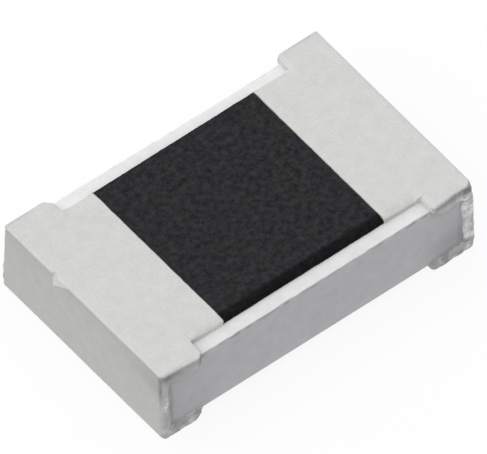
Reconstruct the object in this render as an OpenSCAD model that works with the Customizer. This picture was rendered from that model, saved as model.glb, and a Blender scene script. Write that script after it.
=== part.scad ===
// Flat chip resistor with plated ends that wrap round a ceramic slab.
// Sizes are in millimetres. X runs along the chip, Z points up and the solder faces lie at Z = 0.

/* [Overall] */
// Length over the plated ends
chip_length = 2.00; // [1.80:0.02:2.40]
// Width over the plated ends at half height
chip_width = 1.27; // [1.05:0.01:1.50]
// Height from the solder faces to the top of the plated ends
chip_height = 0.48; // [0.38:0.01:0.70]
// Lean of each long side, which the snapped ceramic edge leaves wider at the bottom
side_lean = 0.012; // [0:0.001:0.030]

/* [Electrodes] */
// Thickness of the printed top electrodes
top_print_t = 0.010; // [0.006:0.001:0.016]
// Thickness of the printed bottom electrodes
bottom_print_t = 0.018; // [0.008:0.001:0.030]
// Thickness of the conductor round each end
edge_t = 0.005; // [0.003:0.001:0.010]
// Radius on the outer corners of that conductor
edge_corner = 0.008; // [0.004:0.001:0.012]
// Reach of that conductor over the top and the bottom of the ceramic
end_wrap = 0.218; // [0.140:0.002:0.300]
// Margin by which that conductor covers the end of the bottom electrode
wrap_cover = 0.030; // [0.010:0.002:0.060]
// Angle at which the inner end of each foot runs in under the ceramic
foot_angle = 38; // [0:1:45]
// Reach of each top electrode in under the overcoat
electrode_reach = 0.110; // [0.080:0.005:0.180]

/* [Resistive film] */
// Thickness of the film
film_t = 0.010; // [0.006:0.001:0.016]
// Lap of the film on each top electrode
film_lap = 0.060; // [0.030:0.005:0.075]
// Width of the trim cut
trim_kerf = 0.030; // [0.020:0.002:0.050]
// Distance of the trim cut from the middle of the film
trim_offset = 0.110; // [0:0.010:0.150]
// Depth of the trim cut into the film
trim_depth = 0.360; // [0.150:0.010:0.500]
// Length of the trim cut's leg along the film
trim_leg = 0.230; // [0.060:0.010:0.300]

/* [Coats] */
// Thickness of the glass coat on the film
glass_t = 0.006; // [0.004:0.001:0.012]
// Margin of the glass coat past the film
glass_margin = 0.025; // [0.015:0.001:0.030]
// Thickness of the overcoat on the highest point of the glass
overcoat_t = 0.010; // [0.006:0.001:0.020]
// Length of the overcoat between the plated ends
overcoat_length = 1.020; // [0.860:0.005:1.200]
// Rolled edge of the overcoat along each long side
roll_width = 0.060; // [0.030:0.005:0.090]
// Height of the wall below that rolled edge
roll_foot = 0.006; // [0.004:0.001:0.012]
// Margin of the overcoat's flat past the glass
overcoat_margin = 0.008; // [0.004:0.001:0.020]
// Radius on the ends of the overcoat
overcoat_corner = 0.004; // [0.002:0.001:0.006]
// Bare ceramic strip along each long edge
bare_strip = 0.084; // [0.060:0.001:0.120]

/* [Plating] */
// Thickness of the nickel barrier
nickel_t = 0.008; // [0.004:0.001:0.012]
// Thickness of the tin
tin_t = 0.014; // [0.008:0.001:0.020]
// Overhang of the nickel on the bare long sides
nickel_lip = 0.012; // [0.006:0.001:0.020]
// Overhang of the tin on the bare long sides
tin_lip = 0.034; // [0.024:0.001:0.050]

/* [Hidden] */
// Flats that make up each rounded corner
corner_steps = 4;
// Flats that make up the overcoat's rolled edge
roll_steps = 8;
// Spare length of a cutting prism
spare = 0.5;

plating_t = nickel_t + tin_t;
ceramic_length = chip_length - 2 * (edge_t + plating_t);
ceramic_end = -ceramic_length / 2;
ceramic_low = bottom_print_t + edge_t + plating_t;
ceramic_top = chip_height - plating_t - edge_t - top_print_t;
ceramic_height = ceramic_top - ceramic_low;
overcoat_end = -overcoat_length / 2;
overcoat_width = 2 * (half_width(ceramic_top) - bare_strip);
overcoat_height = top_print_t + film_t + glass_t + overcoat_t;
top_print_width = overcoat_width - 2 * plating_t;
top_print_end = overcoat_end + electrode_reach;
film_length = 2 * (film_lap - top_print_end);
film_width = overcoat_width - 2 * (roll_width + overcoat_margin + glass_margin);
glass_length = film_length + 2 * glass_margin;
glass_width = film_width + 2 * glass_margin;

// Half the width of the ceramic at height z, with its long sides carried on past top and bottom
function half_width(z) =
    chip_width / 2 - plating_t + side_lean * (0.5 - (z - ceramic_low) / ceramic_height);

// Inner end of the left foot at height z
function foot_end(grow, z) =
    ceramic_end + end_wrap + grow / cos(foot_angle) + (z - ceramic_low) * tan(foot_angle);

function unit(v) = v / norm(v);

// Arc of radius r that rounds corner b between its neighbours a and c
function corner_arc(a, b, c, r) =
    let (u = unit(a - b), v = unit(c - b), half = acos(u * v) / 2)
    let (centre = b + unit(u + v) * r / sin(half))
    let (p = b + u * r / tan(half) - centre, q = b + v * r / tan(half) - centre)
    let (start = atan2(p[1], p[0]), turn = atan2(q[1], q[0]) - start)
    let (sweep = turn > 180 ? turn - 360 : turn < -180 ? turn + 360 : turn)
    [for (i = [0 : corner_steps])
        let (angle = start + sweep * i / corner_steps)
        centre + r * [cos(angle), sin(angle)]];

// Outline through corners [x, y, radius]
function rounded(path) =
    let (n = len(path))
    [for (i = [0 : n - 1])
        let (a = path[(i + n - 1) % n], b = path[i], c = path[(i + 1) % n])
        each b[2] > 0
            ? corner_arc([a[0], a[1]], [b[0], b[1]], [c[0], c[1]], b[2])
            : [[b[0], b[1]]]];

// Outline that follows the two steps where a layer climbs on to the top electrodes
function climbing(length, rise, crest) =
    let (x = length / 2, step = -top_print_end - rise, base = ceramic_top)
    [[-x, base], [x, base], [x, base + crest], [step, base + crest],
     [step - top_print_t, base + crest - top_print_t], [top_print_t - step, base + crest - top_print_t],
     [-step, base + crest], [-x, base + crest]];

module along_x(outline, x0, x1) {
    translate([x0, 0, 0])
        rotate([90, 0, 90])
            linear_extrude(height = x1 - x0)
                polygon(outline);
}

module along_y(outline, width) {
    rotate([90, 0, 0])
        linear_extrude(height = width, center = true)
            polygon(outline);
}

module along_z(outline, z0, z1) {
    translate([0, 0, z0])
        linear_extrude(height = z1 - z0)
            polygon(outline);
}

// Ceramic slab with leaning long sides
module slab() {
    low = half_width(ceramic_low);
    top = half_width(ceramic_top);
    along_x([[-low, ceramic_low], [low, ceramic_low], [top, ceramic_top], [-top, ceramic_top]],
            ceramic_end, -ceramic_end);
}

// Left end seen from the side, grown by the plating, with a mouth that leaves a lip on the bare long side
module cap_profile(grow, lip) {
    end = ceramic_end - edge_t - grow;
    reach = ceramic_end + end_wrap + grow;
    low = ceramic_low - bottom_print_t - edge_t - grow;
    top = ceramic_top + top_print_t + edge_t + grow;
    along_y(rounded([[end, low, edge_corner + grow],
                     [foot_end(grow, low), low, grow / 2],
                     [foot_end(grow, ceramic_low + lip), ceramic_low + lip, lip / 3],
                     [ceramic_end + lip, ceramic_low + lip, lip / 2],
                     [ceramic_end + lip, ceramic_top - lip, lip / 2],
                     [reach, ceramic_top - lip, lip / 3],
                     [reach, top, grow / 2],
                     [end, top, edge_corner + grow]]),
            chip_width + spare);
}

// Left end seen from its end face, grown by the plating
module cap_section(grow) {
    low = ceramic_low - bottom_print_t - edge_t - grow;
    top = ceramic_top + top_print_t + edge_t + grow;
    wide = half_width(low) + grow;
    narrow = half_width(top) + grow;
    along_x(rounded([[-wide, low, grow], [wide, low, grow], [narrow, top, grow], [-narrow, top, grow]]),
            -chip_length, 0);
}

// Left end seen from above, grown by the plating, between two heights
module cap_plan(grow, reach, z0, z1) {
    end = ceramic_end - edge_t - grow;
    wide = half_width(0) + grow;
    along_z(rounded([[end, -wide, edge_corner + grow], [reach, -wide, grow],
                     [reach, wide, grow], [end, wide, edge_corner + grow]]),
            z0, z1);
}

// Solid form of the left end, from its outer skin inwards
module cap(grow, lip) {
    quarter = ceramic_height / 4;
    intersection() {
        cap_profile(grow, lip);
        cap_section(grow);
        union() {
            cap_plan(grow, ceramic_end + end_wrap + grow, ceramic_low + quarter, chip_height + spare);
            cap_plan(grow, foot_end(grow, ceramic_low + lip), -spare, ceramic_top - quarter);
        }
    }
}

// Printed top electrode grown by the plating, up to the edge of the overcoat
module tongue(grow) {
    half = top_print_width / 2 + grow;
    top = ceramic_top + top_print_t + grow;
    along_x(rounded([[-half, ceramic_top, 0], [half, ceramic_top, 0], [half, top, grow / 2], [-half, top, grow / 2]]),
            ceramic_end, overcoat_end);
}

module top_print() {
    half = top_print_width / 2;
    translate([ceramic_end, -half, ceramic_top])
        cube([top_print_end - ceramic_end, 2 * half, top_print_t]);
}

module bottom_print() {
    half = top_print_width / 2;
    translate([ceramic_end, -half, ceramic_low - bottom_print_t])
        cube([end_wrap - wrap_cover, 2 * half, bottom_print_t]);
}

module top_prints() {
    top_print();
    mirror([1, 0, 0])
        top_print();
}

module edge_conductor() {
    difference() {
        cap(0, 0);
        top_print();
        bottom_print();
    }
}

module nickel_skin() {
    difference() {
        union() {
            cap(nickel_t, nickel_lip);
            tongue(nickel_t);
        }
        slab();
        cap(0, 0);
        top_print();
        glass_form();
    }
}

module tin_skin() {
    difference() {
        union() {
            cap(plating_t, tin_lip);
            tongue(plating_t);
        }
        slab();
        cap(nickel_t, nickel_lip);
        tongue(nickel_t);
        glass_form();
    }
}

module film_form() {
    along_y(climbing(film_length, film_t, top_print_t + film_t), film_width);
}

module glass_form() {
    along_y(climbing(glass_length, film_t + glass_t, top_print_t + film_t + glass_t), glass_width);
}

// Trim cut: in from one long edge of the film, then a leg along it
module trim_cut() {
    start = -(film_width + glass_margin) / 2;
    turn = trim_depth - film_width / 2;
    along_z([[-trim_offset, start], [trim_kerf - trim_offset, start], [trim_kerf - trim_offset, turn - trim_kerf],
             [trim_leg - trim_offset, turn - trim_kerf], [trim_leg - trim_offset, turn], [-trim_offset, turn]],
            ceramic_top, chip_height + spare);
}

// Overcoat with edges that roll down to the bare strips
module overcoat_form() {
    half = overcoat_width / 2;
    flat = half - roll_width;
    foot = ceramic_top + roll_foot;
    rise = overcoat_height - roll_foot;
    top = ceramic_top + overcoat_height;
    roll = [for (i = [0 : roll_steps]) [roll_width * cos(90 * i / roll_steps), rise * sin(90 * i / roll_steps)]];
    right = [for (p = roll) [flat + p[0], foot + p[1]]];
    left = [for (i = [roll_steps : -1 : 0]) [-flat - roll[i][0], foot + roll[i][1]]];
    intersection() {
        along_x(concat([[-half, ceramic_top], [half, ceramic_top]], right, left), overcoat_end, -overcoat_end);
        along_y(rounded([[overcoat_end, ceramic_top, 0], [-overcoat_end, ceramic_top, 0],
                         [-overcoat_end, top, overcoat_corner], [overcoat_end, top, overcoat_corner]]),
                overcoat_width + spare);
    }
}

module ceramic_substrate() {
    color([0.90, 0.90, 0.91])
        slab();
}

module resistive_film() {
    color([0.16, 0.17, 0.18])
        difference() {
            film_form();
            top_prints();
            trim_cut();
        }
}

module glass_undercoat() {
    color([0.36, 0.42, 0.40])
        difference() {
            glass_form();
            film_form();
            top_prints();
            trim_cut();
        }
}

module overcoat() {
    color([0.07, 0.07, 0.08])
        difference() {
            overcoat_form();
            difference() {
                glass_form();
                trim_cut();
            }
            top_prints();
        }
}

module top_electrode_left() {
    color([0.80, 0.79, 0.74])
        top_print();
}

module top_electrode_right() {
    mirror([1, 0, 0])
        top_electrode_left();
}

module bottom_electrode_left() {
    color([0.80, 0.79, 0.74])
        bottom_print();
}

module bottom_electrode_right() {
    mirror([1, 0, 0])
        bottom_electrode_left();
}

module edge_electrode_left() {
    color([0.62, 0.61, 0.60])
        edge_conductor();
}

module edge_electrode_right() {
    mirror([1, 0, 0])
        edge_electrode_left();
}

module nickel_barrier_left() {
    color([0.72, 0.69, 0.62])
        nickel_skin();
}

module nickel_barrier_right() {
    mirror([1, 0, 0])
        nickel_barrier_left();
}

module tin_plating_left() {
    color([0.82, 0.82, 0.81])
        tin_skin();
}

module tin_plating_right() {
    mirror([1, 0, 0])
        tin_plating_left();
}

ceramic_substrate();
resistive_film();
glass_undercoat();
overcoat();
top_electrode_left();
top_electrode_right();
bottom_electrode_left();
bottom_electrode_right();
edge_electrode_left();
edge_electrode_right();
nickel_barrier_left();
nickel_barrier_right();
tin_plating_left();
tin_plating_right();
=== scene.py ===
import math

import bpy
import numpy as np
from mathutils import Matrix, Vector


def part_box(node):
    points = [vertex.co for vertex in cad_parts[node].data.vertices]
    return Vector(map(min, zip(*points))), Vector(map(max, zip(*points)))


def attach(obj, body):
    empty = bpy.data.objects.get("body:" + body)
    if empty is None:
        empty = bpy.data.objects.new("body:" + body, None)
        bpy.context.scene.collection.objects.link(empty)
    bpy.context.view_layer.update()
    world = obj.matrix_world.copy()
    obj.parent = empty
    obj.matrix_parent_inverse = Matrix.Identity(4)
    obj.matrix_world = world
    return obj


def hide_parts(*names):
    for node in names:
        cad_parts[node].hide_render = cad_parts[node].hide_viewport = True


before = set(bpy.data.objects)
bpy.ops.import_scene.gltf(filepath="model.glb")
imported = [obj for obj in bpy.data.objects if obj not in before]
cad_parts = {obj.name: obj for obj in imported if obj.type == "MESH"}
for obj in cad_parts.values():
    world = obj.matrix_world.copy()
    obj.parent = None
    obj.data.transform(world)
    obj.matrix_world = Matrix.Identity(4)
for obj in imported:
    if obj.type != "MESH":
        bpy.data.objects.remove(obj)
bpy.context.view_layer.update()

# Sizes are in millimetres and come from the frame. Meshes are scaled to metres when they are made.
MM = 0.001
# Vertices this near to a height count as being at it.
LEVEL = 0.002


def node_box(node):
    """Lowest and highest corner of a CAD node, in millimetres."""
    low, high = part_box(node)
    return np.array(low) / MM, np.array(high) / MM


def half_width_at(node, height):
    """Half the width of a CAD node where its vertices lie at a height."""
    points = np.array([v.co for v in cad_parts[node].data.vertices]) / MM
    return points[np.abs(points[:, 2] - height) < LEVEL, 1].max()


CERAMIC_LOW, CERAMIC_HIGH = node_box("ceramic_substrate")
TIN_LOW, TIN_HIGH = node_box("tin_plating_left")
NICKEL_LOW = node_box("nickel_barrier_left")[0]
EDGE_LOW, EDGE_HIGH = node_box("edge_electrode_left")
PRINT_LOW, PRINT_HIGH = node_box("top_electrode_left")
GLASS_HIGH = node_box("glass_undercoat")[1]
COAT_LOW, COAT_HIGH = node_box("overcoat")

CERAMIC_END = CERAMIC_LOW[0]
CERAMIC_BASE = CERAMIC_LOW[2]
CERAMIC_TOP = CERAMIC_HIGH[2]
BASE_HALF = half_width_at("ceramic_substrate", CERAMIC_BASE)
TOP_HALF = half_width_at("ceramic_substrate", CERAMIC_TOP)
PLATING = EDGE_LOW[2] - TIN_LOW[2]
NICKEL = EDGE_LOW[2] - NICKEL_LOW[2]
PRINT_HALF = PRINT_HIGH[1]
COAT_END = COAT_LOW[0]
END_FACE = TIN_LOW[0]
TOP_FACE = TIN_HIGH[2]
MIDDLE = (CERAMIC_BASE + CERAMIC_TOP) / 2

# Form of the plated ends

TOP_CORNER = 0.010
FOOT_CORNER = 0.004
END_LOW_CORNER = 0.024
NICKEL_ROUND = 0.011
NICKEL_CORNER = EDGE_HIGH[2] - PRINT_HIGH[2] + NICKEL_ROUND
NICKEL_LIP = 0.012
# Least tin over the nickel, and how far the tin reaches into it, so that the skin isn't thinner than the mesh
COVER = 0.004
BITE = 0.007
# Radius of edges that are all but sharp
SHARP = 0.004

# tops: how far from the end face the full-width top stops, at the front and at the back
# wall_lean, roll: slope of the top's inner wall and radius of its edge
# foot, foot_lean, foot_roll: how far from the ceramic's end the foot stops, its slope and radius of its edge
# lips: width of the lips below the top, beside the upright corner and above the foot
# fade: over what distance the lip below the top runs out
# front_corners, back_corner: radii of the upright corners, at the front from bottom to top
# falls: how far the end face falls back at its low front, top front, low back and top back corners
# flare, tuck: how far the top's front goes out towards its inner end, or in towards the end face
# bevel: size of the cut across the top's front corner
# bulge, lift: how far the back side swells, and how far the foot rises at its outer front corner
# the band of painted shade: how far it lies below the top edge, its width, and how far in it stays strong
# merge: over what distance behind the top the roll of the plated strip's edges starts
ENDS = {
    "left": dict(
        tops=(0.272, 0.292), wall_lean=0.0, roll=0.011,
        foot=0.232, foot_lean=math.radians(42), foot_roll=0.004,
        lips=(0.062, 0.046, 0.018), fade=0.012,
        front_corners=(0.026, 0.022, 0.032), back_corner=0.016,
        falls=(0.004, 0.006, 0.005, 0.005), flare=0.014, tuck=0.0,
        bevel=0.0, bulge=0.006, lift=0.0,
        shade_band=(0.028, 0.028, 0.11), merge=0.07),
    "right": dict(
        tops=(0.270, 0.262), wall_lean=0.35, roll=0.020,
        foot=0.264, foot_lean=math.radians(23), foot_roll=0.024,
        lips=(0.070, 0.052, 0.020), fade=0.070,
        front_corners=(0.024, 0.010, 0.036), back_corner=0.009,
        falls=(0.002, 0.004, 0.0, 0.003), flare=0.0, tuck=0.006,
        bevel=0.049, bulge=0.0, lift=0.010,
        shade_band=(0.026, 0.024, 0.25), merge=0.04)}
# Where the flare and the tuck start and over what distance, along the end and up it
FLARE_FROM, FLARE_RUN = 0.03, 0.22
TUCK_TO, TUCK_RUN, TUCK_START = 0.21, 0.10, 0.05
FRONT_FROM, FRONT_RISE = 0.36, 0.06
# Height and size of the bulge
BULGE_AT, BULGE_SIZE = 0.14, 0.08
# Where the lift of the foot ends and over what distance, along the end and across it
LIFT_TO, LIFT_RUN = 0.16, 0.14
LIFT_SIDE, LIFT_ACROSS = 0.5, 0.1

# Noise and falloffs

CELLS = 32


def lattice(points, size, seed):
    """Smooth noise from 0 to 1 with features of about that size."""
    table = np.random.default_rng(seed).random((CELLS, CELLS, CELLS))
    cell = np.floor(points / size).astype(int)
    part = points / size - cell
    part = part * part * (3 - 2 * part)
    total = np.zeros(points.shape[:-1])
    for corner in np.ndindex(2, 2, 2):
        weight = np.prod(np.where(corner, part, 1 - part), axis=-1)
        i, j, k = np.moveaxis((cell + corner) % CELLS, -1, 0)
        total += weight * table[i, j, k]
    return total


def step(value, width):
    """Rises from 0 to 1 as a value goes from 0 to the width."""
    return np.clip(value / width, 0, 1)


def hump(distance, width):
    """1 at no distance, and less and less beyond the width."""
    return np.exp(-(distance / width) ** 2)


# Distance fields, negative inside


def soft_max(a, b, radius):
    """Intersection of two fields, with the edge between them rounded."""
    share = np.clip(0.5 + 0.5 * (a - b) / radius, 0, 1)
    return a * share + b * (1 - share) + radius * share * (1 - share)


def soft_min(a, b, radius):
    """Union of two fields, with the corner between them filled."""
    return -soft_max(-a, -b, radius)


def rounded(radius, *fields):
    """Intersection of square-on fields, with corners of that radius."""
    shifted = [f + radius for f in fields]
    outside = np.sqrt(sum(np.maximum(f, 0) ** 2 for f in shifted))
    inside = np.minimum(np.maximum.reduce(shifted), 0)
    return outside + inside - radius


def half_width(z):
    share = (z - CERAMIC_BASE) / (CERAMIC_TOP - CERAMIC_BASE)
    return BASE_HALF + (TOP_HALF - BASE_HALF) * share


def slab(x, y, z):
    """The ceramic."""
    return np.maximum.reduce([np.abs(x) + CERAMIC_END, np.abs(y) - half_width(z),
                              z - CERAMIC_TOP, CERAMIC_BASE - z])


def nickel_skin(x, y, z):
    """Outer faces of the nickel on the left end, as the CAD has them."""
    low = NICKEL_LOW[2]
    high = EDGE_HIGH[2] + NICKEL
    end = NICKEL_LOW[0]
    profile = rounded(NICKEL_CORNER, end - x, z - high, low - z)
    section = rounded(NICKEL, np.abs(y) - half_width(z) - NICKEL, z - high, low - z)
    plan = rounded(NICKEL_CORNER, end - x, np.abs(y) - half_width(0.0) - NICKEL)
    return np.maximum.reduce([profile, section, plan])


def tin_skin(x, y, z, corner, falls, flare, tuck, bulge, lift):
    """Outer faces of the tin on the left end."""
    across = np.clip(0.5 + y / TIN_HIGH[1] / 2, 0, 1)
    up = np.clip(z / TOP_FACE, 0, 1)
    low_front, top_front, low_back, top_back = falls
    front = low_front + (top_front - low_front) * up
    back = low_back + (top_back - low_back) * up
    end = END_FACE + front + (back - front) * across - x
    inner = x - END_FACE
    tucked = tuck * step(TUCK_TO - inner, TUCK_RUN) * step(inner, TUCK_START)
    out = flare * step(inner - FLARE_FROM, FLARE_RUN) - tucked
    out = out * step(z - FRONT_FROM, FRONT_RISE) * (y < 0)
    out = out + bulge * hump(z - BULGE_AT, BULGE_SIZE) * (y > 0)
    base = TIN_LOW[2] + lift * step(END_FACE + LIFT_TO - x, LIFT_RUN) * step(-y - LIFT_SIDE, LIFT_ACROSS)
    plan = rounded(corner, end, np.abs(y) - half_width(z) - PLATING - out)
    low = np.maximum(rounded(END_LOW_CORNER, end, base - z), rounded(FOOT_CORNER, plan, base - z))
    return np.where(z > MIDDLE, rounded(TOP_CORNER, plan, z - TOP_FACE), low)


def top_reach(y, z, tops, wall_lean):
    """Where the full-width top of the left end stops."""
    front, back = tops
    return front + (back - front) * (y / TOP_HALF + 1) / 2 - np.maximum(z - CERAMIC_TOP, 0) * wall_lean


def mouth(x, z, lips, reach=None, fade=0.0):
    """The bare part of the long side between the left end's lips. The top lip runs out towards its reach."""
    top_lip, corner_lip, foot_lip = lips
    if fade:
        top_lip = NICKEL_LIP + (top_lip - NICKEL_LIP) * step(reach - x, fade) ** 0.5
    return rounded(foot_lip / 2, CERAMIC_END + corner_lip - x, z - CERAMIC_TOP + top_lip,
                   CERAMIC_BASE + foot_lip - z)


def cap(x, z, skin, bare, reach, wall_lean, foot, foot_lean, soft=SHARP, roll=SHARP, foot_roll=SHARP):
    """The left end inside a skin, cut to its reach and open where the long side is bare."""
    foot_reach = foot + (z - CERAMIC_BASE) * math.tan(foot_lean)
    top_stop = (x - reach) / math.hypot(1, wall_lean)
    stop = np.where(z > MIDDLE, top_stop, (x - foot_reach) * math.cos(foot_lean))
    return soft_max(soft_max(skin, stop, np.where(z > MIDDLE, roll, foot_roll)), -bare, soft)


def tongue(x, y, z, half, top, corner):
    """The narrow plated strip that runs from the left end to the overcoat."""
    side = rounded(corner, np.abs(y) - half, z - top)
    return np.maximum.reduce([side, PRINT_LOW[2] - PLATING - z, x - COAT_END, CERAMIC_END - x])


# Meshes from distance fields


def lines(*stretches):
    """Grid lines over stretches (start, step), ..., end."""
    *parts, end = stretches
    starts = [p[0] for p in parts] + [end]
    found = []
    for (start, step), stop in zip(parts, starts[1:]):
        count = max(1, round((stop - start) / step))
        found.append(np.linspace(start, stop, count, endpoint=False))
    return np.append(np.concatenate(found), end)


def mirrored(half):
    """Grid lines from 0 up, and the same below 0."""
    return np.concatenate([-half[:0:-1], half])


def surface(field, xs, ys, zs):
    """Vertices and quads of the field's surface, by a surface net on a grid of those lines."""
    grid = np.stack(np.meshgrid(xs, ys, zs, indexing="ij"), axis=-1)
    value = field(grid)
    solid = value < 0
    size = np.array(value.shape) - 1
    corners = [c for c in np.ndindex(2, 2, 2)]

    def cut(array, corner):
        return array[tuple(slice(c, c + n) for c, n in zip(corner, size))]

    filled = sum(cut(solid, c).astype(int) for c in corners)
    active = (filled > 0) & (filled < 8)
    number = np.full(active.shape, -1)
    number[active] = np.arange(active.sum())
    total = np.zeros((active.sum(), 3))
    crossings = np.zeros(active.sum())
    for a in corners:
        for axis in range(3):
            if a[axis]:
                continue
            b = tuple(1 if i == axis else c for i, c in enumerate(a))
            va, vb = cut(value, a)[active], cut(value, b)[active]
            crossed = (va < 0) != (vb < 0)
            share = np.where(crossed, va / np.where(crossed, va - vb, 1), 0)[:, None]
            pa, pb = cut(grid, a)[active], cut(grid, b)[active]
            total += np.where(crossed[:, None], pa + (pb - pa) * share, 0)
            crossings += crossed
    points = total / crossings[:, None]
    quads = []
    for axis in range(3):
        u, v = [i for i in range(3) if i != axis]
        along = [slice(None)] * 3
        along[axis] = slice(0, -1)
        here = solid[tuple(along)]
        along[axis] = slice(1, None)
        there = solid[tuple(along)]
        index = np.argwhere(here != there)
        index = index[(index[:, u] > 0) & (index[:, v] > 0)]
        outward = here[tuple(index.T)] == (axis != 1)
        ring = []
        for du, dv in ((1, 1), (0, 1), (0, 0), (1, 0)):
            cell = index.copy()
            cell[:, u] -= du
            cell[:, v] -= dv
            ring.append(number[tuple(cell.T)])
        ring = np.stack(ring, axis=1)
        quads.append(np.where(outward[:, None], ring, ring[:, ::-1]))
    return points, np.concatenate(quads)


def settle(field, points, reach):
    """Moves points on to the field's surface, by no more than reach."""
    start = points.copy()
    nudge = 1e-4
    flattest = 0.25
    rounds = 3
    for _ in range(rounds):
        value = field(points)
        slope = np.stack([(field(points + nudge * d) - field(points - nudge * d)) / (2 * nudge)
                          for d in np.eye(3)], axis=-1)
        steep = np.maximum((slope ** 2).sum(axis=-1), flattest)
        points = points - slope * (value / steep)[:, None]
        points = start + np.clip(points - start, -reach, reach)
    return points


def piece(name, field, grid, reach, box, replaced, material, marks=None):
    """An object whose surface is the field's, in place of a CAD node and inside its box."""
    points, quads = surface(field, *grid)
    points = np.clip(settle(field, points, reach), *box)
    mesh = bpy.data.meshes.new(name)
    mesh.from_pydata((points * MM).tolist(), [], quads.tolist())
    mesh.shade_smooth()
    mesh.materials.append(material)
    for mark, worked_out in (marks or {}).items():
        mesh.attributes.new(mark, "FLOAT", "POINT").data.foreach_set("value", worked_out(points))
    obj = bpy.data.objects.new(name, mesh)
    bpy.context.scene.collection.objects.link(obj)
    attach(obj, "root")
    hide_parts(replaced)
    return obj


# Materials

# Colour sockets of a mix node
MIX_A, MIX_B, MIX_OUT = 6, 7, 2
# Thin layers: how far the roughness goes up and down, and how many times wider than deep the grain is
ROUGH_SPREAD = 0.08
GRAIN_ASPECT = 12


def node_material(name):
    material = bpy.data.materials.new(name)
    material.use_nodes = True
    tree = material.node_tree
    shader = tree.nodes["Principled BSDF"]
    where = tree.nodes.new("ShaderNodeTexCoord").outputs["Object"]
    return material, tree, shader, where


def noise(tree, where, feature, detail=3.0, roughness=0.55):
    """Noise with features of about that size in millimetres."""
    node = tree.nodes.new("ShaderNodeTexNoise")
    node.inputs["Scale"].default_value = 1 / (feature * MM)
    node.inputs["Detail"].default_value = detail
    node.inputs["Roughness"].default_value = roughness
    tree.links.new(where, node.inputs["Vector"])
    return node.outputs["Fac"]


def ramp(tree, factor, *stops):
    """Colours or greys at positions along a factor."""
    node = tree.nodes.new("ShaderNodeValToRGB")
    elements = node.color_ramp.elements
    while len(elements) < len(stops):
        elements.new(0.5)
    for element, (position, colour) in zip(elements, stops):
        element.position = position
        element.color = (*colour, 1) if hasattr(colour, "__len__") else (colour, colour, colour, 1)
    tree.links.new(factor, node.inputs["Fac"])
    return node.outputs["Color"]


def multiply(tree, a, b):
    node = tree.nodes.new("ShaderNodeMix")
    node.data_type = "RGBA"
    node.blend_type = "MULTIPLY"
    node.inputs["Factor"].default_value = 1
    tree.links.new(a, node.inputs[MIX_A])
    tree.links.new(b, node.inputs[MIX_B])
    return node.outputs[MIX_OUT]


def bump(tree, shader, height, depth):
    """Bump on the shader from a height that spans the depth in millimetres."""
    node = tree.nodes.new("ShaderNodeBump")
    node.inputs["Strength"].default_value = 1.0
    node.inputs["Distance"].default_value = depth * MM
    tree.links.new(height, node.inputs["Height"])
    tree.links.new(node.outputs["Normal"], shader.inputs["Normal"])


def mark(tree, name):
    """A value kept on the mesh's vertices."""
    node = tree.nodes.new("ShaderNodeAttribute")
    node.attribute_name = name
    return node.outputs["Fac"]


def blend(tree, factor, a, b):
    node = tree.nodes.new("ShaderNodeMix")
    node.data_type = "RGBA"
    tree.links.new(factor, node.inputs["Factor"])
    tree.links.new(a, node.inputs[MIX_A])
    tree.links.new(b, node.inputs[MIX_B])
    return node.outputs[MIX_OUT]


def tin_material():
    material, tree, shader, where = node_material("matt_tin")
    grain = noise(tree, where, 0.012, 4)
    patch = noise(tree, where, 0.07, 3, 0.6)
    mottle = noise(tree, where, 0.045, 3, 0.6)
    colour = multiply(tree,
                      ramp(tree, grain, (0.3, (0.645, 0.645, 0.632)), (0.7, (0.735, 0.735, 0.722))),
                      ramp(tree, patch, (0.3, 0.94), (0.7, 1.01)))
    # Lighter tin where marked: scraped metal that is also painted up to the lit top's tone, painted light on
    # walls and edges, and painted highlights on lips and the drop of tin
    bare_and_lit_tin = ramp(tree, grain, (0.3, (0.86, 0.86, 0.845)), (0.7, (0.96, 0.96, 0.945)))
    colour = blend(tree, mark(tree, "wear_and_painted_light"), colour, bare_and_lit_tin)
    tinge = ramp(tree, mark(tree, "rim"), (0.0, (1, 1, 1)), (0.5, (0.965, 0.965, 0.988)))
    colour = multiply(tree, colour, tinge)
    nodules = multiply(tree, mark(tree, "rim"), ramp(tree, mottle, (0.44, 0.0), (0.60, 1.0)))
    # Darker where marked: painted shade in the grooves, creases and corners, painted shadow at the front cut,
    # and also blotches, rings and darker lips
    colour = multiply(tree, colour, ramp(tree, mark(tree, "dark"), (0.0, 1.0), (1.0, 0.5)))
    colour = multiply(tree, colour, ramp(tree, mark(tree, "bleed"), (0.0, 1.0), (1.0, 0.035)))
    tree.links.new(colour, shader.inputs["Base Color"])
    worn = ramp(tree, grain, (0.25, 0.88), (0.75, 1.0))
    polish = ramp(tree, nodules, (0.0, 0.70), (1.0, 0.36))
    tree.links.new(multiply(tree, worn, polish), shader.inputs["Roughness"])
    tree.links.new(ramp(tree, nodules, (0.0, 0.3), (1.0, 0.74)), shader.inputs["Metallic"])
    shader.inputs["Specular IOR Level"].default_value = 0.3
    bump(tree, shader, grain, 0.0006)
    return material


def ceramic_material():
    material, tree, shader, where = node_material("fired_alumina")
    grain = noise(tree, where, 0.010, 4, 0.6)
    patch = noise(tree, where, 0.07, 3, 0.6)
    fired = ramp(tree, grain, (0.3, (0.845, 0.845, 0.842)), (0.7, (0.895, 0.895, 0.892)))
    # The snapped long sides get their own lighter, bluer colour; the bluish tint is painted shade.
    snapped = ramp(tree, grain, (0.3, (0.870, 0.864, 0.898)), (0.7, (0.930, 0.924, 0.958)))
    colour = multiply(tree, blend(tree, mark(tree, "snapped"), fired, snapped),
                      ramp(tree, patch, (0.3, 0.92), (0.7, 1.0)))
    # Darker where marked: painted shade and painted shadow, and a tone on the front strip
    colour = multiply(tree, colour, ramp(tree, mark(tree, "dark"), (0.0, 1.0), (1.0, 0.6)))
    tree.links.new(colour, shader.inputs["Base Color"])
    tree.links.new(ramp(tree, grain, (0.3, 0.62), (0.7, 0.80)), shader.inputs["Roughness"])
    shader.inputs["Specular IOR Level"].default_value = 0.25
    bump(tree, shader, grain, 0.0008)
    return material


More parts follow.
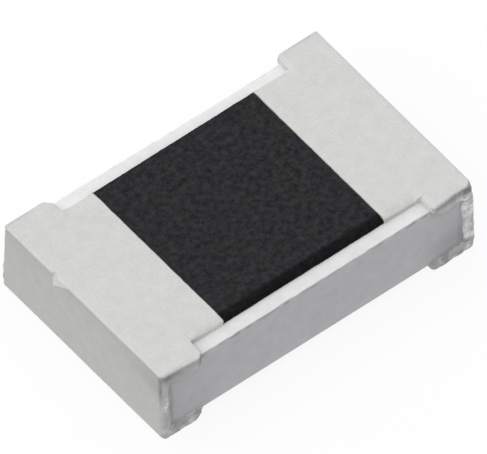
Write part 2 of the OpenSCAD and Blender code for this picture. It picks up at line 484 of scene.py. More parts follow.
def resin_material():
    material, tree, shader, where = node_material("black_resin")
    grain = noise(tree, where, 0.012, 3)
    patch = noise(tree, where, 0.034, 4, 0.75)
    hue = noise(tree, where, 0.075, 3, 0.6)
    colour = blend(tree, ramp(tree, hue, (0.46, 0.0), (0.60, 1.0)),
                   ramp(tree, patch, (0.34, (0.0116, 0.0114, 0.0121)), (0.66, (0.0430, 0.0424, 0.0450))),
                   ramp(tree, patch, (0.34, (0.0098, 0.0093, 0.0120)), (0.66, (0.0402, 0.0390, 0.0478))))
    colour = multiply(tree, colour, ramp(tree, grain, (0.3, 0.82), (0.7, 1.0)))
    # Darker where the coat rolls down along its long edges: painted shade
    colour = multiply(tree, colour, ramp(tree, mark(tree, "edge"), (0.0, 1.0), (1.0, 0.35)))
    crept = ramp(tree, grain, (0.3, (0.62, 0.62, 0.61)), (0.7, (0.70, 0.70, 0.69)))
    colour = blend(tree, mark(tree, "creep"), colour, crept)
    tree.links.new(colour, shader.inputs["Base Color"])
    tree.links.new(ramp(tree, patch, (0.3, 0.56), (0.7, 0.72)), shader.inputs["Roughness"])
    shader.inputs["Specular IOR Level"].default_value = 0.07
    bump(tree, shader, grain, 0.0009)
    return material


def layer_material(name, dark, light, metallic, rough, feature):
    """A thin fired or plated layer with grain of that size."""
    material, tree, shader, where = node_material(name)
    grain = noise(tree, where, feature, 4)
    tree.links.new(ramp(tree, grain, (0.3, dark), (0.7, light)), shader.inputs["Base Color"])
    spread = ramp(tree, grain, (0.3, rough - ROUGH_SPREAD), (0.7, rough + ROUGH_SPREAD))
    tree.links.new(spread, shader.inputs["Roughness"])
    shader.inputs["Metallic"].default_value = metallic
    bump(tree, shader, grain, feature / GRAIN_ASPECT)
    return material


TIN = tin_material()
CERAMIC = ceramic_material()
RESIN = resin_material()
FILM = layer_material("fired_film", (0.035, 0.036, 0.040), (0.065, 0.066, 0.070), 0.0, 0.55, 0.010)
GLASS = layer_material("fired_glass", (0.12, 0.16, 0.15), (0.18, 0.22, 0.21), 0.0, 0.22, 0.020)
SILVER = layer_material("fired_silver", (0.54, 0.53, 0.48), (0.66, 0.65, 0.60), 0.9, 0.50, 0.012)
CONDUCTOR = layer_material("end_conductor", (0.29, 0.28, 0.27), (0.39, 0.38, 0.37), 0.8, 0.45, 0.012)
NICKEL_PLATE = layer_material("nickel_plate", (0.43, 0.39, 0.32), (0.53, 0.49, 0.40), 1.0, 0.38, 0.008)

# Sealed layers keep their CAD form.
LAYERS = {"resistive_film": FILM, "glass_undercoat": GLASS}
for side in ("left", "right"):
    LAYERS["top_electrode_" + side] = SILVER
    LAYERS["bottom_electrode_" + side] = SILVER
    LAYERS["edge_electrode_" + side] = CONDUCTOR
    LAYERS["nickel_barrier_" + side] = NICKEL_PLATE
for node, material in LAYERS.items():
    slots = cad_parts[node].data.materials
    slots.clear()
    slots.append(material)

# Plated ends

# Start and step of each stretch of grid lines, finer where faces bend
FINE = 0.004
END_X = lines((-1.006, FINE), (-0.92, 0.010), (-0.80, 0.005), (-0.68, 0.012), (-0.53, 0.003),
              COAT_END + 0.006)
END_Y = mirrored(lines((0, 0.009), (0.47, FINE), TIN_HIGH[1] + 0.012))
END_Z = lines((-0.006, FINE), (0.10, 0.010), (0.33, FINE), 0.486)
END_SETTLE = 0.004
END_SEEDS = {"left": 11, "right": 23}

# The nickel stops here on the top and at the foot, as in the CAD.
NICKEL_END = EDGE_HIGH[0] + NICKEL
NICKEL_LEAN = math.radians(38)
NICKEL_FOOT = EDGE_HIGH[0] + NICKEL / math.cos(NICKEL_LEAN)
NICKEL_STRIP_CORNER = 0.002

# The plated strip's long edges roll down, less near the coat, and are a little ragged.
TONGUE_TOP = TOP_FACE - 0.0002
TONGUE_HALF = PRINT_HALF + PLATING + 0.002
TONGUE_FLAT = TONGUE_HALF - 0.058
TONGUE_DROP = 0.015
TONGUE_CORNER = 0.006
TONGUE_FILLET = 0.008
DROP_LEAST, DROP_RUN = 0.3, 0.09
RAGGED_DEEP, RAGGED_SIZE = 0.0025, 0.03

# Knock in the left end's top edge: how far across its steep side is, how deep it is there, how deep the metal
# is scraped below it, how fast both run out towards the front, and how steep the other side is
KNOCK_SIDE = 0.232
KNOCK_DEPTH = 0.030
SCRAPE_DEPTH = 0.088
KNOCK_RUN = 0.40
SCRAPE_RUN = 0.70
KNOCK_STEEP = 1.2
# The left end's inner corners are cut across, at the back and at the front.
CUT_BACK = -0.121
CUT_FRONT = -0.016
CUT_LEAN = math.radians(49)
CUT_ROLL = 0.008
BEVEL_ROLL = 0.006
# Edge of the lips towards the bare ceramic, which wanders
MOUTH_ROLL = 0.040
WANDER, WANDER_SIZE = 0.024, 0.055
# Upright front corners have their top radius from this height, and their bottom radius below the other.
CORNER_HIGH, CORNER_LOW, CORNER_RUN = 0.41, 0.07, 0.06

# Depth and size of the relief: all over, on the lips, and as lumps low on the lips
GRAIN_DEEP, GRAIN_SIZE = 0.0012, 0.11
RIPPLE_DEEP, RIPPLE_SIZE = 0.004, 0.022
LUMP_DEEP, LUMP_SIZE, LUMP_BARE = 0.006, 0.034, 0.35
LUMP_TOP, LUMP_RUN, LUMP_LEAST = 0.085, 0.03, 0.2
# Ripples and the upright groove start this far below the top face.
UNDER_TOP, UNDER_RUN = 0.010, 0.02
# Depth of the grooves, and how far below the top edge they lie, their width and how far in they stay strong
GROOVE_DEEP = 0.008
GROOVE_BAND = (0.026, 0.011, 0.25)
GROOVE_BREAK = 0.05
# Grooves below the top start at half strength, get thin, get faint and stop.
GROOVE_START = 0.09
GROOVE_THIN, GROOVE_THIN_FROM, GROOVE_THIN_RUN = 0.4, 0.15, 0.05
GROOVE_FAINT, GROOVE_FAINT_RUN = 0.65, 0.04
GROOVE_STOP, GROOVE_STOP_RUN = 0.25, 0.03
# The groove down the front upright corner: how far in from the long side, width, heights, and reach
CORNER_GROOVE = 0.018
CORNER_GROOVE_WIDTH = 0.010
TALL_FROM, TALL_RISE, TALL_LEAST = 0.20, 0.12, 0.15
ON_END, ON_END_RUN = 0.034, 0.015

# Lips count in full where they stand out this far.
LIP_OUT = 0.010
# The foot counts as such below this height, and the end face within this distance.
FOOT_TOP, FOOT_RUN = 0.11, 0.03
END_SKIN = 0.012
# Drop of tin on the left end's front corner, with no form of its own but polish and a painted highlight:
# height, distance from the end face, and size both ways
BEAD_AT, BEAD_TALL = 0.27, 0.06
BEAD_IN, BEAD_WIDE = 0.031, 0.014
BEAD_SIDE = 0.02
# Spacing of the rings up the right end's front corner
RING = 0.076
# Resin bleeds this far on to the left end, with a ragged edge.
BLEED, BLEED_RAGGED, BLEED_SIZE, BLEED_RUN = 0.008, 0.003, 0.03, 0.004


def front_cut(x, y):
    """How far a point is beyond the cut across the left end's inner front corner."""
    return x * math.cos(CUT_LEAN) - y * math.sin(CUT_LEAN) - CUT_FRONT


def lip_share(y, z):
    """1 on the lips that stand out from the long sides, 0 elsewhere."""
    return step(np.abs(y) - half_width(z), LIP_OUT)


def foot_share(z):
    """1 at the foot, 0 above it."""
    return step(FOOT_TOP - z, FOOT_RUN)


def end_share(x, reach, run):
    """1 near the left end face, 0 from that reach on."""
    return step(END_FACE + reach - x, run)


def under_share(z):
    """1 below the top edge, 0 on it."""
    return step(TOP_FACE - UNDER_TOP - z, UNDER_RUN)


def bead(x, y, z):
    """1 on the drop of tin on the left end's front corner, 0 away from it."""
    near = hump(z - BEAD_AT, BEAD_TALL) * hump(x - END_FACE - BEAD_IN, BEAD_WIDE)
    return near * (y < BEAD_SIDE - half_width(z))


def grooves(p, seed, drop, width, strong):
    """How far a point is in the broken grooves below the top and beside the upright corner, from 0 to 1."""
    x, y, z = np.moveaxis(p, -1, 0)
    inner = x - END_FACE
    width = width * (1 - GROOVE_THIN * step(inner - GROOVE_THIN_FROM, GROOVE_THIN_RUN))
    under_top = hump(z - TOP_FACE + drop, width) * lip_share(y, z)
    under_top = under_top * step(GROOVE_STOP - inner, GROOVE_STOP_RUN)
    under_top = under_top * (1 - GROOVE_FAINT * step(inner - strong, GROOVE_FAINT_RUN))
    under_top = under_top * np.clip(0.5 + inner / GROOVE_START, 0, 1)
    tall = np.clip((z - TALL_FROM) / TALL_RISE, TALL_LEAST, 1) * under_share(z)
    in_groove = hump(half_width(z) + PLATING - CORNER_GROOVE + y, CORNER_GROOVE_WIDTH)
    at_corner = in_groove * end_share(x, ON_END, ON_END_RUN) * tall
    return np.maximum(under_top, at_corner) * (0.5 + 0.5 * lattice(p, GROOVE_BREAK, seed + 3))


def left_wear(outer, x, y, z):
    """The left end with its knock and its cut corners."""
    run = KNOCK_STEEP * np.maximum(y - KNOCK_SIDE, 0) + KNOCK_RUN * np.maximum(KNOCK_SIDE - y, 0)
    nick = (z - TOP_FACE - x + END_FACE + KNOCK_DEPTH - run) / math.sqrt(2)
    cut = np.maximum((x + y - CUT_BACK) / math.sqrt(2), np.where(y < -TONGUE_HALF, front_cut(x, y), -1))
    return soft_max(soft_max(outer, nick, SHARP), np.where(z > MIDDLE, cut, -1), CUT_ROLL)


# Marks: the upright corner's reach from the end face, and where the full-width top has surely stopped
UPRIGHT, UPRIGHT_RUN = 0.10, 0.04
PAST_TOP = 0.30
# Dark marks of the left end, each with its strength last: painted shadow at the front cut, painted shade
# towards the end face's front corner, and darker upright lips
CUT_SHADOW_RUN, CUT_SHADOW_DEEP, CUT_SHADOW = 0.006, 0.03, 0.7
SHADE_FROM, SHADE_RUN, SHADE_AT, SHADE_TALL, SHADE = 0.33, 0.22, 0.38, 0.07, 0.26
LIP_DARKER = 0.06
# Dark marks of the right end, each with its strength last: painted shade at the top's front corner, rings up
# the corner, the lips' inner part and a darker foot
TIP_DROP, TIP_SIZE, TIP_EDGE, TIP_RUN, TIP_SIDE, TIP_SHADE = 0.027, 0.025, 0.003, 0.006, 0.06, 0.8
RING_SHARP, RINGS = 8, 0.3
FLANGE_FROM, FLANGE_RUN, FLANGE_DROP, FLANGE = 0.225, 0.02, 0.008, 0.3
FOOT_DARKER = 0.15
# Lighter marks of the left end, each with its strength last where it isn't 1: the scraped metal, worn and
# painted up to the lit top's tone, painted light on the plated strip's front edge, and a painted highlight on
# the drop of tin
SCRAPE_IN, SCRAPE_LAP, SCRAPE_LEAST, SCRAPE_SOFT = 0.03, 0.010, 0.003, 0.006
EDGE_LAP, EDGE_SOFT, EDGE_LONG, EDGE_RUN, EDGE_LIGHT = 0.005, 0.006, 0.20, 0.12, 0.8
BEAD_HIGHLIGHT = 0.6
# Painted light on the right end, each with its strength last: the top's inner wall painted as lit as the top,
# and painted highlights on the upright lip and in a streak below the top
LIP_REACH, LIP_RUN, LIP_FROM, LIP_RISE, LIP_DROP, LIP_HIGHLIGHT = 0.08, 0.02, 0.10, 0.03, 0.03, 0.4
WALL_FROM, WALL_RUN, WALL_DROP, WALL_SOFT = 0.235, 0.015, 0.008, 0.012
WALL_LAP, WALL_SIDE, WALL_LIGHT = 0.004, 0.006, 0.35
STREAK_DROP, STREAK_SIZE, STREAK_REACH, STREAK_RUN, STREAK_BREAK, STREAK_HIGHLIGHT = 0.036, 0.016, 0.21, 0.03, 0.05, 0.5
# Dark marks of both ends: painted shade where tin meets ceramic, blotches on the foot, painted shade below
# the end face's top edge, and painted shade in the grooves
CREASE_SIZE, CREASE_SHADE = 0.004, 0.25
BLOTCH_SIZE, BLOTCH_LEVEL, BLOTCH = 0.045, 1.45, 0.6
UNDER_SIZE, UNDER_DROP, UNDER = 0.06, 0.008, 0.20
GROOVE_SHADE = 0.9
# Shares of polished rim: all lips and foot of the left end, then top lip, upright lip and foot of the right
RIM_LEFT, RIM_LEFT_FOOT = 0.25, 0.35
RIM_TOP, RIM_TOP_REACH, RIM_UPRIGHT, RIM_REACH, RIM_FOOT, RIM_RUN = 0.5, 0.24, 0.9, 0.09, 0.6, 0.03
# Painted shade on the ceramic beside the lips: its place from the lip's edge, size and breaks, and where it
# lies
LIP_SHADE_AT, LIP_SHADE_SIZE, LIP_SHADE_BREAK, LIP_SHADE_LEVEL = 0.008, 0.010, 0.09, 0.25
LIP_SHADE_HIGH, LIP_SHADE_FALL, LIP_SHADE_LONG, LIP_SHADE_RUN, LIP_SHADE_UPRIGHT = 0.20, 0.06, 0.32, 0.05, 0.12
LIP_SHADE_LOW = {"left": 0.4, "right": 1.0}


def left_dark(x, y, z):
    """Dark marks that only the left end has: painted shadow at the front cut, painted corner shade and darker
    upright lips.
    """
    # Painted shadow on the lip's inner end at the front cut
    cut_shadow = step(front_cut(x, y) + CUT_SHADOW_RUN, CUT_SHADOW_RUN) * step(TOP_FACE - CUT_SHADOW_RUN - z, CUT_SHADOW_RUN)
    cut_shadow = cut_shadow * (z > CERAMIC_TOP - CUT_SHADOW_DEEP) * (y < -TONGUE_HALF) * (x < END_FACE + PAST_TOP)
    shade = step(-y - SHADE_FROM, SHADE_RUN) * hump(z - SHADE_AT, SHADE_TALL) * (x < END_FACE + END_SKIN)
    darker_lips = lip_share(y, z) * end_share(x, UPRIGHT, UPRIGHT_RUN)
    return CUT_SHADOW * cut_shadow + LIP_DARKER * darker_lips + SHADE * shade


def right_dark(x, y, z):
    """Dark marks that only the right end has: painted shade at its top corner, rings up the corner, inner
    edge and a darker foot.
    """
    lips = lip_share(y, z)
    foot = foot_share(z)
    upright = end_share(x, UPRIGHT, UPRIGHT_RUN)
    # Painted shade below the top's front corner
    tip_shade = hump(z - TOP_FACE + TIP_DROP, TIP_SIZE) * step(TOP_FACE - TIP_EDGE - z, TIP_RUN)
    tip_shade = tip_shade * upright * (y < TIP_SIDE - half_width(z))
    rings = np.clip(np.cos(2 * math.pi * z / RING), 0, 1) ** RING_SHARP * upright * lips * (1 - foot)
    flange = step(x - END_FACE - FLANGE_FROM, FLANGE_RUN) * lips
    flange = flange * step(TOP_FACE - FLANGE_DROP - z, FLANGE_DROP)
    return TIP_SHADE * tip_shade + RINGS * rings + FLANGE * flange + FOOT_DARKER * foot * lips


def left_painted_light(x, y, z):
    """Lighter marks of the left end: the scraped metal, worn and painted up to the lit top's tone, painted
    light on the plated strip's front edge and a painted highlight on the drop of tin.
    """
    away = KNOCK_SIDE - y
    deep = TOP_FACE - SCRAPE_DEPTH + SCRAPE_RUN * away
    scraped = (y < KNOCK_SIDE) & (z > deep) & (x < END_FACE + SCRAPE_IN)
    below = TOP_FACE - np.maximum(KNOCK_DEPTH - SCRAPE_LAP - KNOCK_RUN * away, SCRAPE_LEAST)
    scraped = scraped * step(below - z, SCRAPE_SOFT)
    edge = step(-y - TONGUE_HALF + EDGE_LAP, EDGE_SOFT) * step(x - COAT_END + EDGE_LONG, EDGE_RUN)
    return np.maximum.reduce([scraped, EDGE_LIGHT * edge * (z > CERAMIC_TOP), BEAD_HIGHLIGHT * bead(x, y, z)])


def right_painted_light(p, x, y, z, seed):
    """Painted light on the right end: the top's inner wall painted as lit as the top, a painted highlight on
    the upright lip and a painted highlight streak below the top.
    """
    lips = lip_share(y, z)
    upright = end_share(x, LIP_REACH, LIP_RUN) * step(z - LIP_FROM, LIP_RISE) * lips
    upright = upright * (z < CERAMIC_TOP - LIP_DROP)
    lit_wall = step(x - END_FACE - WALL_FROM, WALL_RUN) * step(TOP_FACE - WALL_DROP - z, WALL_SOFT)
    lit_wall = lit_wall * (z > CERAMIC_TOP - WALL_LAP) * (np.abs(y) > TONGUE_HALF - WALL_SIDE)
    lit_wall = lit_wall * (x < END_FACE + PAST_TOP)
    highlight_streak = hump(z - CERAMIC_TOP + STREAK_DROP, STREAK_SIZE) * lips * end_share(x, STREAK_REACH, STREAK_RUN)
    highlight_streak = highlight_streak * np.clip(2 * lattice(p, STREAK_BREAK, seed + 9), 0, 1)
    return np.maximum.reduce([WALL_LIGHT * lit_wall, LIP_HIGHLIGHT * upright, STREAK_HIGHLIGHT * highlight_streak])


def end_maker(side):
    """Field of the tin on one end, what is marked on it, and how near the bare ceramic is to its lips."""
    form = ENDS[side]
    seed = END_SEEDS[side]
    tops = [END_FACE + reach for reach in form["tops"]]
    flip = np.array((1 if side == "left" else -1, 1, 1))

    def opening(p):
        x, y, z = np.moveaxis(p, -1, 0)
        reach = top_reach(y, z, tops, form["wall_lean"])
        wander = WANDER * (lattice(p, WANDER_SIZE, seed + 2) - 0.5)
        return mouth(x, z, form["lips"], reach, form["fade"]) - wander

    def field(p):
        p = p * flip
        x, y, z = np.moveaxis(p, -1, 0)
        lips = lip_share(y, z)
        low = step(LUMP_TOP - z, LUMP_RUN) * np.clip(z / LUMP_RUN, LUMP_LEAST, 1)
        lumps = np.clip(lattice(p, LUMP_SIZE, seed + 4) - LUMP_BARE, 0, 1)
        rough = (GRAIN_DEEP * lattice(p, GRAIN_SIZE, seed)
                 + lips * under_share(z) * RIPPLE_DEEP * lattice(p, RIPPLE_SIZE, seed + 1)
                 + lips * low * LUMP_DEEP * lumps + GROOVE_DEEP * grooves(p, seed, *GROOVE_BAND))
        low_corner, mid_corner, top_corner = form["front_corners"]
        front = (mid_corner + (top_corner - mid_corner) * step(z - CORNER_HIGH, CORNER_RUN)
                 + (low_corner - mid_corner) * step(CORNER_LOW - z, CORNER_RUN))
        skin = tin_skin(x, y, z, np.where(y < 0, front, form["back_corner"]), form["falls"], form["flare"],
                        form["tuck"], form["bulge"], form["lift"]) + rough
        reach = top_reach(y, z, tops, form["wall_lean"])
        outer = cap(x, z, skin, opening(p), reach, form["wall_lean"], CERAMIC_END + form["foot"],
                    form["foot_lean"], MOUTH_ROLL, form["roll"], form["foot_roll"])
        corner = x - END_FACE + half_width(z) + PLATING + y + TOP_FACE - z
        outer = soft_max(outer, (form["bevel"] - corner) / math.sqrt(3), BEVEL_ROLL)
        if side == "left":
            outer = left_wear(outer, x, y, z)
        drop = TONGUE_DROP * step(np.abs(y) - TONGUE_FLAT, TONGUE_HALF - TONGUE_FLAT) ** 2
        drop = drop * step(x - reach, form["merge"]) * np.clip(DROP_LEAST + (COAT_END - x) / DROP_RUN, 0, 1)
        ragged = RAGGED_DEEP * lattice(p, RAGGED_SIZE, seed + 6) * (drop > 0)
        strip = tongue(x, y, z, TONGUE_HALF, TONGUE_TOP - drop, TONGUE_CORNER) + ragged
        outer = soft_min(outer, strip, TONGUE_FILLET)
        nickel = np.minimum(cap(x, z, nickel_skin(x, y, z), mouth(x, z, (NICKEL_LIP,) * 3), NICKEL_END, 0.0,
                                NICKEL_FOOT, NICKEL_LEAN),
                            tongue(x, y, z, PRINT_HALF + NICKEL, PRINT_HIGH[2] + NICKEL, NICKEL_STRIP_CORNER))
        outer = np.minimum(outer, nickel - COVER)
        return np.maximum.reduce([outer, -slab(x, y, z), -nickel - BITE, x - COAT_END])

    def rim(p):
        x, y, z = (p * flip).T
        lips = lip_share(y, z)
        foot = foot_share(z)
        if side == "left":
            return np.clip(lips * (RIM_LEFT + RIM_LEFT_FOOT * foot) + bead(x, y, z), 0, 1)
        upright = end_share(x, RIM_REACH, RIM_RUN) * (1 - foot)
        top = end_share(x, RIM_TOP_REACH, RIM_RUN)
        return lips * (RIM_TOP * top + RIM_UPRIGHT * upright + RIM_FOOT * foot)

    def dark(p):
        p = p * flip
        x, y, z = p.T
        crease_shade = np.exp(-np.maximum(slab(x, y, z), 0) / CREASE_SIZE) * (z < CERAMIC_TOP)
        blotch = np.clip(BLOTCH_LEVEL - 2 * lattice(p, BLOTCH_SIZE, seed + 7), 0, 1)
        blotch = blotch * foot_share(z) * lip_share(y, z)
        under = np.exp((z - TOP_FACE) / UNDER_SIZE) * (x < END_FACE + END_SKIN) * (z < TOP_FACE - UNDER_DROP)
        # The grooves, the crease where tin meets ceramic and the band below the end face's top edge are
        # darkened as painted shade.
        total = GROOVE_SHADE * grooves(p, seed, *form["shade_band"]) + CREASE_SHADE * crease_shade + BLOTCH * blotch + UNDER * under
        own = left_dark if side == "left" else right_dark
        return np.clip(total + own(x, y, z), 0, 1)

    # Lighter colour: painted light and painted highlights, and scraped metal that is worn and painted lighter
    def wear_and_painted_light(p):
        x, y, z = (p * flip).T
        return left_painted_light(x, y, z) if side == "left" else right_painted_light(p, x, y, z, seed)

    def bleed(p):
        edge = COAT_END - BLEED - BLEED_RAGGED * lattice(p, BLEED_SIZE, seed + 10)
        return step(p[:, 0] - edge, BLEED_RUN) * (side == "left")

    # Painted shade on the bare ceramic beside the lips, and low towards the ends
    def beside(p):
        p = p * flip
        x, _, z = p.T
        low = step(LIP_SHADE_HIGH - z, LIP_SHADE_FALL) * end_share(x, LIP_SHADE_LONG, LIP_SHADE_RUN) * LIP_SHADE_LOW[side]
        near = hump(opening(p) + LIP_SHADE_AT, LIP_SHADE_SIZE)
        near = near * np.clip(LIP_SHADE_LEVEL + lattice(p, LIP_SHADE_BREAK, seed + 8), 0, 1)
        return near * np.maximum(end_share(x, LIP_SHADE_UPRIGHT, UPRIGHT_RUN), low)

    return field, {"rim": rim, "dark": dark, "wear_and_painted_light": wear_and_painted_light, "bleed": bleed}, beside


NEAR_LIPS = []
for side in ENDS:
    xs = END_X if side == "left" else -END_X[::-1]
    node = "tin_plating_" + side
    field, marks, beside = end_maker(side)
    NEAR_LIPS.append(beside)
    piece("tin_end_" + side, field, (xs, END_Y, END_Z), END_SETTLE, node_box(node), node, TIN, marks)

# Ceramic slab

SLAB_X = mirrored(lines((0, 0.012), (0.955, FINE), 0.983))
SLAB_Y = mirrored(lines((0, 0.04), (0.48, 0.012), (TOP_HALF - 0.012, 0.003), BASE_HALF + 0.009))
SLAB_Z = lines((0.036, 0.003), (0.06, 0.010), (0.41, 0.003), 0.450)
SLAB_SETTLE = 0.003
SLAB_CORNER = 0.002
# Chips along the top edges: height, how far from the middle they stop, depth and size, and what stays whole
CHIP_TALL, CHIP_STOP, CHIP_RUN = 0.014, 0.74, 0.02
CHIP_DEEP, CHIP_SIZE, CHIP_WHOLE = 0.012, 0.035, 0.4
# Wear of the back top edge towards the right, from where and over what distance
BACK_WEAR, WEAR_FROM, WEAR_RUN = 0.013, 0.3, 0.8
# Noise of chips and snapped faces is stretched upwards.
CHIP_STRETCH = (1, 1, 0.2)
SNAP_STRETCH = (1, 1, 0.5)
# Relief of the snapped long sides, which stops under the ends and at the bottom edge
SNAP_DEEP, SNAP_SIZE = 0.003, 0.07
BARE_STOP, BARE_RUN = 0.93, 0.05
# What counts as a long side: how deep, how soft, and how far below the top
SIDE_DEEP, SIDE_SOFT, TOP_SKIN = 0.02, 0.01, 0.003
# Painted shade in a broken line under the long sides' top edges
EDGE_SHADE_DROP, EDGE_SHADE_SIZE, EDGE_SHADE_BREAK, EDGE_SHADE_GAIN, EDGE_SHADE_BARE = 0.012, 0.009, 0.035, 1.6, 0.45
# Painted shade towards both ends and low down, beside the lips, and low at the right end
FAR_FROM, FAR_RUN, FAR_POWER, FAR_SHADE = 0.55, 0.38, 1.5, 0.5
LIP_SHADE = 0.55
RIGHT_FROM, RIGHT_RUN, RIGHT_HIGH, RIGHT_FALL, RIGHT_SHADE = 0.68, 0.10, 0.24, 0.10, 0.30
# Painted shadow on the top where the ends stop, a tone on the front strip, and a painted shadow at the left
# end's front corner
LEFT_SHADOW_SIZE, LEFT_SHADOW = 0.012, 0.7
RIGHT_SHADOW_SIZE, RIGHT_SHADOW = 0.022, 0.35
FRONT_TONE = 0.15
CORNER_SHADOW_DROP, CORNER_SHADOW_SIZE, CORNER_SHADOW = 0.015, 0.018, 0.8


def chips(p):
    """How far the long sides' top edges have chipped back, in millimetres."""
    x, y, z = np.moveaxis(p, -1, 0)
    near = hump(CERAMIC_TOP - z, CHIP_TALL) * step(CHIP_STOP - np.abs(x), CHIP_RUN)
    worn = BACK_WEAR * step(x + WEAR_FROM, WEAR_RUN) * (y > 0)
    return near * (worn + CHIP_DEEP * np.clip(lattice(p * CHIP_STRETCH, CHIP_SIZE, 43) - CHIP_WHOLE, 0, 1))


def slab_field(p):
    x, y, z = np.moveaxis(p, -1, 0)
    bare = step(BARE_STOP - np.abs(x), BARE_RUN)
    up = step(z - CERAMIC_BASE, BARE_RUN)
    snapped = bare * (up * SNAP_DEEP * lattice(p * SNAP_STRETCH, SNAP_SIZE, 41) + chips(p))
    return rounded(SLAB_CORNER, np.abs(x) + CERAMIC_END, np.abs(y) - half_width(z) + snapped,
                   z - CERAMIC_TOP, CERAMIC_BASE - z)


def slab_side(p):
    """1 on the snapped long sides, which get a bluish tint of painted shade, 0 on the fired faces."""
    _, y, z = p.T
    return step(np.abs(y) - half_width(z) + SIDE_DEEP, SIDE_SOFT) * (z < CERAMIC_TOP - TOP_SKIN)


def past_end(side, x, y, z):
    """How far a point is past the full-width top of an end, without the lean of its wall."""
    along = x if side == "left" else -x
    return along - top_reach(y, z, [END_FACE + reach for reach in ENDS[side]["tops"]], 0)


def slab_dark(p):
    """Painted shade under the long sides' top edges, beside the lips and low towards the ends, painted shadow
    where the ends stop and at the left end's front corner, and a tone on the front strip.
    """
    x, y, z = p.T
    # Painted shade in a broken line under the top edges
    broken = np.clip(EDGE_SHADE_GAIN * lattice(p, EDGE_SHADE_BREAK, 44) - EDGE_SHADE_BARE, 0, 1)
    edge_shade = hump(CERAMIC_TOP - EDGE_SHADE_DROP - z, EDGE_SHADE_SIZE) * broken
    height = (z - CERAMIC_BASE) / (CERAMIC_TOP - CERAMIC_BASE)
    left = past_end("left", x, y, z)
    right = past_end("right", x, y, z)
    on_top = z > CERAMIC_TOP - TOP_SKIN
    # Painted shadow on the top where the ends stop
    end_shadow = LEFT_SHADOW * hump(left, LEFT_SHADOW_SIZE)
    end_shadow = end_shadow + RIGHT_SHADOW * np.exp(-np.maximum(right, 0) / RIGHT_SHADOW_SIZE)
    end_shadow = end_shadow * on_top + FRONT_TONE * on_top * (y < 0)
    # Painted shade low on the sides towards both ends, beside the lips and at the right end's low corner
    side_shade = FAR_SHADE * step(np.abs(x) - FAR_FROM, FAR_RUN) ** FAR_POWER * np.clip(1 - height, 0, 1)
    side_shade += LIP_SHADE * sum(beside(p) for beside in NEAR_LIPS)
    side_shade += RIGHT_SHADE * step(x - RIGHT_FROM, RIGHT_RUN) * step(RIGHT_HIGH - z, RIGHT_FALL)
    # Painted shadow at the left end's front corner
    side_shade += CORNER_SHADOW * np.exp(-(left ** 2 + (z - CERAMIC_TOP + CORNER_SHADOW_DROP) ** 2) / CORNER_SHADOW_SIZE ** 2) * (y < 0)
    return np.clip(slab_side(p) * (edge_shade + side_shade) + end_shadow, 0, 1)


piece("ceramic_slab", slab_field, (SLAB_X, SLAB_Y, SLAB_Z), SLAB_SETTLE,
      (CERAMIC_LOW, CERAMIC_HIGH), "ceramic_substrate", CERAMIC,
      {"dark": slab_dark, "snapped": slab_side})

# Overcoat

COAT_X = mirrored(lines((0, 0.012), (-COAT_END - 0.012, 0.002), -COAT_END + 0.006))
COAT_Y = mirrored(lines((0, 0.012), (0.43, 0.004), COAT_HIGH[1] + 0.010))
COAT_Z = lines((COAT_LOW[2] - 0.005, 0.0025), COAT_HIGH[2] + 0.005)
COAT_SETTLE = 0.003
# The coat's long edges roll down, softly at the front and sharply at the back.
ROLL = 0.060
ROLL_FOOT = 0.006
ROLL_FRONT, ROLL_BACK = 2.0, 6.5
COAT_ROUND = 0.004
# Depth and size of the coat's waves, and of the finer ones
WAVE_DEEP, WAVE_SIZE = 0.0012, 0.05
FINE_DEEP, FINE_SIZE = 0.0008, 0.018
# How far in the painted shade on the rolled long edges reaches at the front and at the back, and how soft it
# is
INSET_FRONT, INSET_BACK, INSET_SOFT = 0.062, 0.020, 0.022
# Tin creeps this far over the coat's right edge, with a ragged edge.
CREEP, CREEP_RAGGED, CREEP_SIZE, CREEP_RUN = 0.003, 0.002, 0.03, 0.002


def coat_field(p):
    x, y, z = np.moveaxis(p, -1, 0)
    flat = COAT_HIGH[1] - ROLL
    foot = COAT_LOW[2] + ROLL_FOOT
    rise = COAT_HIGH[2] - foot
    out = np.maximum(np.abs(y) - flat, 0) / ROLL
    up = np.maximum(z - foot, 0) / rise
    power = np.where(y < 0, ROLL_FRONT, ROLL_BACK)
    rolled = ((out ** power + up ** power) ** (1 / power) - 1) * rise
    wave = WAVE_DEEP * lattice(p, WAVE_SIZE, 61) + FINE_DEEP * lattice(p, FINE_SIZE, 62)
    crown = np.maximum(rolled, z - COAT_HIGH[2]) + wave
    body = np.maximum.reduce([crown, np.abs(y) - COAT_HIGH[1], COAT_LOW[2] - z])
    body = soft_max(body, np.abs(x) + COAT_END, COAT_ROUND)
    prints = np.maximum.reduce([-PRINT_HIGH[0] - np.abs(x), np.abs(y) - PRINT_HALF, z - PRINT_HIGH[2]])
    glass = np.maximum.reduce([np.abs(x) - GLASS_HIGH[0], np.abs(y) - GLASS_HIGH[1], z - GLASS_HIGH[2]])
    return np.maximum.reduce([body, -prints, -glass])


def coat_edge_shade(p):
    """1 where the coat rolls down along its long edges, which are painted darker as painted shade."""
    inset = np.where(p[:, 1] < 0, INSET_FRONT, INSET_BACK)
    return step(np.abs(p[:, 1]) - COAT_HIGH[1] + inset, INSET_SOFT)


def coat_creep(p):
    """1 where tin lies over the coat's right edge."""
    edge = -COAT_END - CREEP - CREEP_RAGGED * lattice(p, CREEP_SIZE, 63)
    return step(p[:, 0] - edge, CREEP_RUN)


piece("resin_coat", coat_field, (COAT_X, COAT_Y, COAT_Z), COAT_SETTLE,
      (COAT_LOW, COAT_HIGH), "overcoat", RESIN, {"edge": coat_edge_shade, "creep": coat_creep})

# Camera

IMAGE_W, IMAGE_H = 487, 454
AZIMUTH = math.radians(-38.71)
ELEVATION = math.radians(51.37)
PIXELS_PER_MM = 201.2
